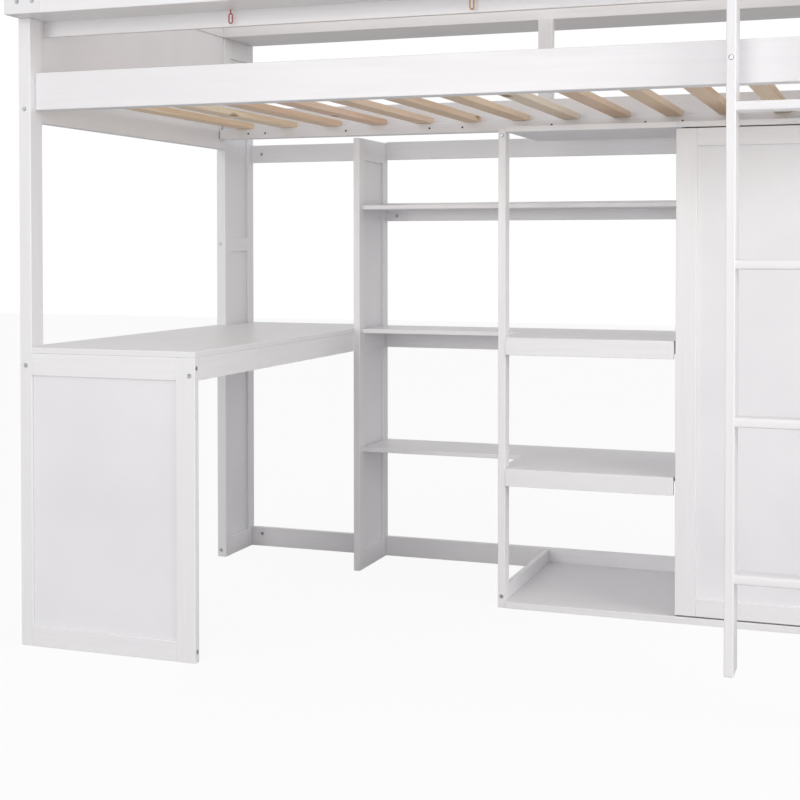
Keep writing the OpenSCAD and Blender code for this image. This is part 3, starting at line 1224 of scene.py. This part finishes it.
@dataclass
class Ladder(SubAssembly):
    """Two ladder rails and the rungs between them."""

    rail_ease: float = 2.5
    rung_ease: float = 4 * MM
    seed: int = 4

    def build(self) -> int:
        """Builds the ladder.

        Returns:
            How many pieces were made.
        """
        self.joiner.eased("ladder_rails", Paint.UPRIGHT, self.rail_ease)
        rungs = self.joiner.boards("ladder_rungs")
        points = bpy.data.meshes.new("rung_start")
        points.from_pydata([tuple(rungs[0].middle)], [], [])
        piece = BoardRow().grow(
            "rungs_rounded",
            points,
            {
                "Count": len(rungs),
                "Step": rungs[1].middle - rungs[0].middle,
                "Length": rungs[0].size.x,
                "Width": rungs[0].size.y,
                "Thickness": rungs[0].size.z,
                "Ease": self.rung_ease,
                "Turn": 0.0,
                "Seed": self.seed,
                "Finish": Paint.ALONG.material(),
            },
        )
        Paint.ALONG.slot()
        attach(piece, BODY_BED)
        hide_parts("ladder_rungs")
        return 2


@dataclass
class Fasteners(SubAssembly):
    """The bolts that hold the frame together, and the screws along the rear ledger."""

    head: float = 3.2 * MM
    chamfer: float = 0.4 * MM
    recess: float = 2.9 * MM
    recess_depth: float = 2.4 * MM
    shank: float = 3 * MM
    ledger_runs: tuple[float, ...] = (0.100, 0.158, 0.430, 0.700, 0.803, 1.075, 1.348, 1.453, 1.800)
    ledger_screw_radius: float = 3.5 * MM
    ledger_screw_length: float = 18 * MM

    def build(self) -> int:
        """Builds the bolts and screws.

        Returns:
            How many pieces were made.
        """
        bolts = self.joiner.boards("frame_bolts")
        front, right = Vector((0, -1, 0)), Vector((1, 0, 0))
        rows = []
        for bolt in bolts:
            facing = front if bolt.size.y > bolt.size.x else right
            length = max(bolt.size.x, bolt.size.y)
            head = bolt.middle + facing * (length / 2 - self.chamfer)
            rows.append((head, facing, length - self.chamfer))
        piece = FastenerRow(Drive.HEX).grow(
            "hex_socket_bolts",
            FastenerRow.places(rows),
            {
                "Head Radius": min(min(bolt.size) for bolt in bolts) / 2,
                "Head Height": self.head,
                "Chamfer": self.chamfer,
                "Recess": self.recess,
                "Recess Depth": self.recess_depth,
                "Shank Radius": self.shank,
                "Finish": Paint.ZINC.material(),
            },
        )
        Paint.ZINC.slot()
        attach(piece, BODY_BED)
        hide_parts("frame_bolts")
        ledger = max(self.joiner.boards("slat_ledgers"), key=lambda b: b.low.y)
        start = Vector((ledger.low.x, ledger.low.y, ledger.middle.z))
        screws = [(start + right * run, front, self.ledger_screw_length) for run in self.ledger_runs]
        Screws(radius=self.ledger_screw_radius, paint=Paint.BLACKED).place("ledger_screws", screws)
        return 2


@dataclass
class Hooks(SubAssembly):
    """Two small hanging links under the front trough, one red and one brass."""

    wire: float = 1.5 * MM
    shank: float = 8 * MM
    paints: tuple[Paint, Paint] = (Paint.RED, Paint.BRASS)
    arc_points: int = 10

    def build(self) -> int:
        """Builds the hooks.

        Returns:
            How many pieces were made.
        """
        parts = self.joiner.boards("trough_hooks")
        for i, paint in enumerate(self.paints):
            pair = parts[2 * i : 2 * i + 2]
            low = Vector([min(part.low[axis] for part in pair) for axis in range(3)])
            high = Vector([max(part.high[axis] for part in pair) for axis in range(3)])
            self.link(f"trough_hook_{i + 1}", Board(low, high), paint)
        return len(self.paints)

    def link(self, name: str, hook: Board, paint: Paint) -> None:
        """Bends one oval link of round wire and hangs it from its screw.

        Args:
            name: the piece's name.
            hook: the hook's box in the frame.
            paint: the link's finish.
        """
        radius = hook.size.x / 2 - self.wire
        path = bpy.data.curves.new(name, "CURVE")
        path.dimensions = "3D"
        path.bevel_depth = self.wire
        path.bevel_resolution = 4
        path.use_fill_caps = True
        high = hook.high.z - self.shank - radius - self.wire
        low = hook.low.z + radius + self.wire
        oval = path.splines.new("POLY")
        turns = []
        for centre, start in ((high, 0.0), (low, math.pi)):
            for k in range(self.arc_points + 1):
                angle = start + math.pi * k / self.arc_points
                side, rise = radius * math.cos(angle), radius * math.sin(angle)
                turns.append((hook.middle.x + side, hook.middle.y, centre + rise))
        oval.points.add(len(turns) - 1)
        for point, place in zip(oval.points, turns):
            point.co = (*place, 1.0)
        oval.use_cyclic_u = True
        shank = path.splines.new("POLY")
        shank.points.add(1)
        shank.points[0].co = (hook.middle.x, hook.middle.y, hook.high.z, 1.0)
        shank.points[1].co = (hook.middle.x, hook.middle.y, high + radius - self.wire, 1.0)
        bent = bpy.data.objects.new(name + "_wire", path)
        bpy.context.scene.collection.objects.link(bent)
        graph = bpy.context.evaluated_depsgraph_get()
        mesh = bpy.data.meshes.new_from_object(bent.evaluated_get(graph), depsgraph=graph)
        bpy.data.objects.remove(bent)
        for face in mesh.polygons:
            face.use_smooth = True
        piece = link_object(name, mesh)
        self.joiner.dress(piece, paint)
        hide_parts("trough_hooks")


# ---- studio ----------------------------------------------------------------------------------------


@dataclass
class Studio:
    """A white room: pale floor, soft lights and the camera."""

    eye: tuple[float, float, float] = (1.060, -3.498, 0.994)
    yaw: float = math.radians(19.0)
    pitch_down: float = math.radians(1.16)
    lens: float = 61.94
    shift: tuple[float, float] = (-0.0355, -0.1564)
    floor_half: float = 14.0
    floor_glow: float = 1.06
    floor_seen: float = 0.86  # how much of the glow the eye sees, over the painted floor
    backdrop: str = "#FFFFFF"
    backdrop_glow: float = 1.02
    horizon: float = 0.90  # the surroundings' light from the side, and from above
    zenith: float = 0.56

    def camera(self) -> None:
        """Sets up the camera, about a metre above the floor."""
        camera = bpy.data.cameras.new("camera")
        camera.lens = self.lens
        camera.shift_x, camera.shift_y = self.shift
        camera.clip_end = 60.0
        stand = bpy.data.objects.new("camera", camera)
        stand.location = self.eye
        stand.rotation_euler = (math.pi / 2 - self.pitch_down, 0.0, self.yaw)
        bpy.context.scene.collection.objects.link(stand)
        bpy.context.scene.camera = stand

    def room(self) -> None:
        """Makes the white surroundings, which the eye sees brighter than they light the bed."""
        world = bpy.data.worlds.new("white_room")
        world.use_nodes = True
        tree = world.node_tree
        tree.nodes.clear()
        ray = add(tree, "ShaderNodeLightPath")
        way = add(tree, "ShaderNodeTexCoord").outputs["Generated"]
        height = add(tree, "ShaderNodeSeparateXYZ", {0: way}).outputs["Z"]
        sky = ranged(tree, height, self.horizon, self.zenith)
        lit = add(tree, "ShaderNodeBackground", {"Color": linear("#FBFAFB"), "Strength": sky})
        settings = {"Color": linear(self.backdrop), "Strength": self.backdrop_glow}
        seen = add(tree, "ShaderNodeBackground", settings)
        shares = {0: ray.outputs["Is Camera Ray"], 1: lit.outputs[0], 2: seen.outputs[0]}
        both = add(tree, "ShaderNodeMixShader", shares)
        add(tree, "ShaderNodeOutputWorld", {"Surface": both.outputs[0]})
        bpy.context.scene.world = world

    def floor(self) -> None:
        """Lays the pale floor."""
        half = self.floor_half
        mesh = bpy.data.meshes.new("studio_floor")
        corners = [(-half, -half, 0), (half, -half, 0), (half, half, 0), (-half, half, 0)]
        mesh.from_pydata(corners, [], [(0, 1, 2, 3)])
        floor = link_object("studio_floor", mesh)
        material, tree = blank("pale_floor")
        ray = add(tree, "ShaderNodeLightPath")
        paint = add(tree, "ShaderNodeBsdfDiffuse", {"Color": linear("#BFBFBF")})
        settings = {"Color": linear(self.backdrop), "Strength": self.floor_glow}
        glow = add(tree, "ShaderNodeEmission", settings)
        seen = {0: ray.outputs["Is Camera Ray"], 1: self.floor_seen}
        share = add(tree, "ShaderNodeMath", seen, operation="MULTIPLY")
        shares = {0: share.outputs[0], 1: paint.outputs[0], 2: glow.outputs[0]}
        both = add(tree, "ShaderNodeMixShader", shares)
        add(tree, "ShaderNodeOutputMaterial", {"Surface": both.outputs[0]})
        mesh.materials.append(material)

    def lights(self) -> None:
        """Hangs the soft lights: a near one on the right, a far one in front, and a weak low one."""
        self.soft_box("right_light", (4.5, -1.5, 2.0), (0.0, 0.0, 1.0), 3.0, 94.0)
        self.soft_box("front_light", (-2.0, -7.4, 2.2), (-0.2, 0.0, 0.85), 3.2, 132.0)
        self.soft_box("low_light", (1.6, -5.2, 0.8), (0.0, 0.6, 0.7), 2.0, 14.0)

    def soft_box(
        self,
        name: str,
        place: tuple[float, float, float],
        aim: tuple[float, float, float],
        side: float,
        power: float,
    ) -> None:
        """Hangs one square soft box.

        Args:
            name: the light's name.
            place: where it hangs.
            aim: the point that it faces.
            side: the length of its side.
            power: its power in watts.
        """
        light = bpy.data.lights.new(name, "AREA")
        light.shape = "SQUARE"
        light.size = side
        light.energy = power
        light.color = linear("#FFFEFD")[:3]
        stand = bpy.data.objects.new(name, light)
        stand.location = place
        stand.rotation_euler = (Vector(aim) - Vector(place)).to_track_quat("-Z", "Y").to_euler()
        bpy.context.scene.collection.objects.link(stand)

    def build(self) -> None:
        """Sets up the whole studio."""
        self.camera()
        self.room()
        self.floor()
        self.lights()
        bpy.context.scene.view_settings.view_transform = "Standard"


def main() -> None:
    """Builds the bed around the frame, then the studio."""
    logging.basicConfig(level=logging.INFO, format="%(name)s: %(message)s")
    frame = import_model()
    joiner = Joiner(frame["nodes"])
    for kind in (Bunk, SlatBase, Troughs, Desk, Shelving, Wardrobe, Door, Ladder, Fasteners, Hooks):
        made = kind(joiner).build()
        LOG.info("%s: %d pieces", kind.__name__, made)
    Studio().build()


if __name__ == "__main__":
    main()
